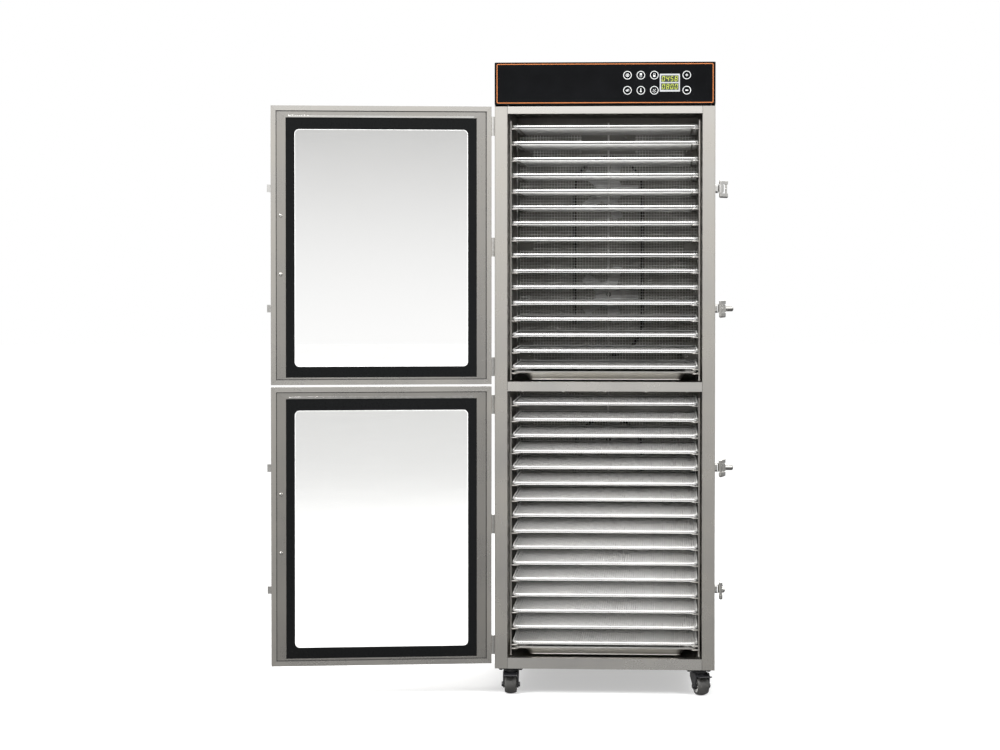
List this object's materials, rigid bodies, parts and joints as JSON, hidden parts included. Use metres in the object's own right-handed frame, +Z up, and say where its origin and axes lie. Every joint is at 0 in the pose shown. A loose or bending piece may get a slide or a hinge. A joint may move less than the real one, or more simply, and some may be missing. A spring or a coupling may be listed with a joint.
{
  "type": "food dehydrator",
  "caption": "Floor-standing stainless food dehydrator on casters: stacked chambers of sliding mesh trays behind glazed doors, with rear fans, heating loops and a black control head.",
  "frame": {"origin": "on the floor, under the middle of the cabinet's footprint", "axes": "+Z up; +Y from the front towards the back; +X to the right as seen from the front"},
  "size_m": [1.2254, 0.702, 1.678],
  "materials": {
    "brushed_stainless": "brushed satin stainless sheet",
    "liner_stainless": "mill-finish stainless sheet",
    "stainless_wire": "electropolished stainless wire",
    "pan_stainless": "pressed stainless sheet",
    "black_gloss_panel": "gloss black touch panel",
    "circuit_board": "solder mask and moulded parts",
    "heater_sheath": "heat-darkened tubular sheath",
    "motor_housing": "satin black",
    "fan_aluminium": "stamped sheet",
    "chromed_fittings": "polished",
    "caster_steel": "black zinc and paint",
    "caster_tyre": "moulded polyurethane tread",
    "door_glass": "clear double glazing"
  },
  "bodies": {
    "root": {"outer_casing": "brushed_stainless", "rear_cover": "brushed_stainless", "base_pan": "brushed_stainless", "chamber_liner": "liner_stainless", "front_frame": "brushed_stainless", "control_fascia": "black_gloss_panel", "control_board": "circuit_board", "tray_racks": "stainless_wire", "fan_guards": "stainless_wire", "heating_elements": "heater_sheath", "fan_motors": "motor_housing", "cabinet_fittings": "chromed_fittings", "caster_plates": "caster_steel"},
    "door_upper": {"door_frame_upper": "brushed_stainless", "door_glass_upper": "door_glass", "door_fittings_upper": "chromed_fittings"},
    "door_lower": {"door_frame_lower": "brushed_stainless", "door_glass_lower": "door_glass", "door_fittings_lower": "chromed_fittings"},
    "latch_lever_1": {"latch_lever_1": "chromed_fittings"},
    "latch_bail_1": {"latch_bail_1": "chromed_fittings"},
    "latch_lever_2": {"latch_lever_2": "chromed_fittings"},
    "latch_bail_2": {"latch_bail_2": "chromed_fittings"},
    "latch_lever_3": {"latch_lever_3": "chromed_fittings"},
    "latch_bail_3": {"latch_bail_3": "chromed_fittings"},
    "latch_lever_4": {"latch_lever_4": "chromed_fittings"},
    "latch_bail_4": {"latch_bail_4": "chromed_fittings"},
    "fan_1": {"fan_1": "fan_aluminium"},
    "fan_2": {"fan_2": "fan_aluminium"},
    "fan_3": {"fan_3": "fan_aluminium"},
    "fan_4": {"fan_4": "fan_aluminium"},
    "caster_fork_front_left": {"caster_fork_front_left": "caster_steel"},
    "caster_wheel_front_left": {"caster_wheel_front_left": "caster_tyre"},
    "brake_pedal_front_left": {"brake_pedal_front_left": "caster_steel"},
    "caster_fork_front_right": {"caster_fork_front_right": "caster_steel"},
    "caster_wheel_front_right": {"caster_wheel_front_right": "caster_tyre"},
    "brake_pedal_front_right": {"brake_pedal_front_right": "caster_steel"},
    "caster_fork_rear_left": {"caster_fork_rear_left": "caster_steel"},
    "caster_wheel_rear_left": {"caster_wheel_rear_left": "caster_tyre"},
    "caster_fork_rear_right": {"caster_fork_rear_right": "caster_steel"},
    "caster_wheel_rear_right": {"caster_wheel_rear_right": "caster_tyre"},
    "tray_upper_01": {"tray_upper_01": "stainless_wire"},
    "tray_upper_02": {"tray_upper_02": "stainless_wire"},
    "tray_upper_03": {"tray_upper_03": "stainless_wire"},
    "tray_upper_04": {"tray_upper_04": "stainless_wire"},
    "tray_upper_05": {"tray_upper_05": "stainless_wire"},
    "tray_upper_06": {"tray_upper_06": "stainless_wire"},
    "tray_upper_07": {"tray_upper_07": "stainless_wire"},
    "tray_upper_08": {"tray_upper_08": "stainless_wire"},
    "tray_upper_09": {"tray_upper_09": "stainless_wire"},
    "tray_upper_10": {"tray_upper_10": "stainless_wire"},
    "tray_upper_11": {"tray_upper_11": "stainless_wire"},
    "tray_upper_12": {"tray_upper_12": "stainless_wire"},
    "tray_upper_13": {"tray_upper_13": "stainless_wire"},
    "tray_upper_14": {"tray_upper_14": "stainless_wire"},
    "tray_upper_15": {"tray_upper_15": "stainless_wire"},
    "tray_upper_16": {"tray_upper_16": "stainless_wire"},
    "trays_lower": {"trays_lower": "stainless_wire"},
    "drip_pan_upper": {"drip_pan_upper": "pan_stainless"},
    "drip_pan_lower": {"drip_pan_lower": "pan_stainless"}
  },
  "joints": [
    {"name": "door_upper_hinge", "type": "hinge", "parent": "root", "child": "door_upper", "pos_m": [-0.2955, -0.296, 1.188], "axis": [0, 0, -1], "range_deg": [-170.6, 9]},
    {"name": "door_lower_hinge", "type": "hinge", "parent": "root", "child": "door_lower", "pos_m": [-0.2955, -0.296, 0.4535], "axis": [0, 0, -1], "range_deg": [-170.6, 9]},
    {"name": "latch_lever_1_pivot", "type": "hinge", "parent": "root", "child": "latch_lever_1", "pos_m": [0.3065, -0.283, 1.344], "axis": [0, 0, -1], "range_deg": [0, 160]},
    {"name": "latch_bail_1_pivot", "type": "hinge", "parent": "latch_lever_1", "child": "latch_bail_1", "pos_m": [0.3065, -0.275, 1.344], "axis": [0, 0, 1], "range_deg": [-164.6, 26]},
    {"name": "latch_lever_2_pivot", "type": "hinge", "parent": "root", "child": "latch_lever_2", "pos_m": [0.3065, -0.283, 1.028], "axis": [0, 0, -1], "range_deg": [-90, 0]},
    {"name": "latch_bail_2_pivot", "type": "hinge", "parent": "latch_lever_2", "child": "latch_bail_2", "pos_m": [0.3145, -0.283, 1.028], "axis": [0, 0, 1], "range_deg": [0, 195]},
    {"name": "latch_lever_3_pivot", "type": "hinge", "parent": "root", "child": "latch_lever_3", "pos_m": [0.3065, -0.283, 0.608], "axis": [0, 0, -1], "range_deg": [-90, 0]},
    {"name": "latch_bail_3_pivot", "type": "hinge", "parent": "latch_lever_3", "child": "latch_bail_3", "pos_m": [0.3145, -0.283, 0.608], "axis": [0, 0, 1], "range_deg": [0, 195]},
    {"name": "latch_lever_4_pivot", "type": "hinge", "parent": "root", "child": "latch_lever_4", "pos_m": [0.3065, -0.283, 0.286], "axis": [0, 0, -1], "range_deg": [-180, 0]},
    {"name": "latch_bail_4_pivot", "type": "hinge", "parent": "latch_lever_4", "child": "latch_bail_4", "pos_m": [0.3065, -0.291, 0.286], "axis": [0, 0, -1], "range_deg": [-169.4, 10]},
    {"name": "fan_1_spin", "type": "hinge", "parent": "root", "child": "fan_1", "pos_m": [0, 0.201, 1.059], "axis": [0, 1, 0], "continuous": true},
    {"name": "fan_2_spin", "type": "hinge", "parent": "root", "child": "fan_2", "pos_m": [0, 0.201, 1.354], "axis": [0, 1, 0], "continuous": true},
    {"name": "fan_3_spin", "type": "hinge", "parent": "root", "child": "fan_3", "pos_m": [0, 0.201, 0.3505], "axis": [0, 1, 0], "continuous": true},
    {"name": "fan_4_spin", "type": "hinge", "parent": "root", "child": "fan_4", "pos_m": [0, 0.201, 0.6465], "axis": [0, 1, 0], "continuous": true},
    {"name": "caster_swivel_front_left", "type": "hinge", "parent": "root", "child": "caster_fork_front_left", "pos_m": [-0.25, -0.25, 0.06], "axis": [0, 0, 1], "continuous": true},
    {"name": "caster_wheel_front_left_spin", "type": "hinge", "parent": "caster_fork_front_left", "child": "caster_wheel_front_left", "pos_m": [-0.25, -0.268, 0.025], "axis": [1, 0, 0], "continuous": true},
    {"name": "brake_pedal_front_left_pivot", "type": "hinge", "parent": "caster_fork_front_left", "child": "brake_pedal_front_left", "pos_m": [-0.25, -0.276, 0.054], "axis": [1, 0, 0], "range_deg": [0, 8]},
    {"name": "caster_swivel_front_right", "type": "hinge", "parent": "root", "child": "caster_fork_front_right", "pos_m": [0.25, -0.25, 0.06], "axis": [0, 0, 1], "continuous": true},
    {"name": "caster_wheel_front_right_spin", "type": "hinge", "parent": "caster_fork_front_right", "child": "caster_wheel_front_right", "pos_m": [0.25616, -0.26691, 0.025], "axis": [0.9397, 0.342, 0], "continuous": true},
    {"name": "brake_pedal_front_right_pivot", "type": "hinge", "parent": "caster_fork_front_right", "child": "brake_pedal_front_right", "pos_m": [0.25889, -0.27443, 0.054], "axis": [0.9397, 0.342, 0], "range_deg": [0, 8]},
    {"name": "caster_swivel_rear_left", "type": "hinge", "parent": "root", "child": "caster_fork_rear_left", "pos_m": [-0.25, 0.25, 0.06], "axis": [0, 0, 1], "continuous": true},
    {"name": "caster_wheel_rear_left_spin", "type": "hinge", "parent": "caster_fork_rear_left", "child": "caster_wheel_rear_left", "pos_m": [-0.25, 0.268, 0.025], "axis": [-1, 0, 0], "continuous": true},
    {"name": "caster_swivel_rear_right", "type": "hinge", "parent": "root", "child": "caster_fork_rear_right", "pos_m": [0.25, 0.25, 0.06], "axis": [0, 0, 1], "continuous": true},
    {"name": "caster_wheel_rear_right_spin", "type": "hinge", "parent": "caster_fork_rear_right", "child": "caster_wheel_rear_right", "pos_m": [0.25, 0.268, 0.025], "axis": [-1, 0, 0], "continuous": true},
    {"name": "tray_upper_01_slide", "type": "slide", "parent": "root", "child": "tray_upper_01", "axis": [0, -1, 0], "range_m": [0, 0.36]},
    {"name": "tray_upper_02_slide", "type": "slide", "parent": "root", "child": "tray_upper_02", "axis": [0, -1, 0], "range_m": [0, 0.36]},
    {"name": "tray_upper_03_slide", "type": "slide", "parent": "root", "child": "tray_upper_03", "axis": [0, -1, 0], "range_m": [0, 0.36]},
    {"name": "tray_upper_04_slide", "type": "slide", "parent": "root", "child": "tray_upper_04", "axis": [0, -1, 0], "range_m": [0, 0.36]},
    {"name": "tray_upper_05_slide", "type": "slide", "parent": "root", "child": "tray_upper_05", "axis": [0, -1, 0], "range_m": [0, 0.36]},
    {"name": "tray_upper_06_slide", "type": "slide", "parent": "root", "child": "tray_upper_06", "axis": [0, -1, 0], "range_m": [0, 0.36]},
    {"name": "tray_upper_07_slide", "type": "slide", "parent": "root", "child": "tray_upper_07", "axis": [0, -1, 0], "range_m": [0, 0.36]},
    {"name": "tray_upper_08_slide", "type": "slide", "parent": "root", "child": "tray_upper_08", "axis": [0, -1, 0], "range_m": [0, 0.36]},
    {"name": "tray_upper_09_slide", "type": "slide", "parent": "root", "child": "tray_upper_09", "axis": [0, -1, 0], "range_m": [0, 0.36]},
    {"name": "tray_upper_10_slide", "type": "slide", "parent": "root", "child": "tray_upper_10", "axis": [0, -1, 0], "range_m": [0, 0.36]},
    {"name": "tray_upper_11_slide", "type": "slide", "parent": "root", "child": "tray_upper_11", "axis": [0, -1, 0], "range_m": [0, 0.36]},
    {"name": "tray_upper_12_slide", "type": "slide", "parent": "root", "child": "tray_upper_12", "axis": [0, -1, 0], "range_m": [0, 0.36]},
    {"name": "tray_upper_13_slide", "type": "slide", "parent": "root", "child": "tray_upper_13", "axis": [0, -1, 0], "range_m": [0, 0.36]},
    {"name": "tray_upper_14_slide", "type": "slide", "parent": "root", "child": "tray_upper_14", "axis": [0, -1, 0], "range_m": [0, 0.36]},
    {"name": "tray_upper_15_slide", "type": "slide", "parent": "root", "child": "tray_upper_15", "axis": [0, -1, 0], "range_m": [0, 0.36]},
    {"name": "tray_upper_16_slide", "type": "slide", "parent": "root", "child": "tray_upper_16", "axis": [0, -1, 0], "range_m": [0, 0.36]},
    {"name": "trays_lower_slide", "type": "slide", "parent": "root", "child": "trays_lower", "axis": [0, -1, 0], "range_m": [0, 0.36]},
    {"name": "drip_pan_upper_slide", "type": "slide", "parent": "root", "child": "drip_pan_upper", "axis": [0, -1, 0], "range_m": [0, 0.36]},
    {"name": "drip_pan_lower_slide", "type": "slide", "parent": "root", "child": "drip_pan_lower", "axis": [0, -1, 0], "range_m": [0, 0.36]}
  ]
}
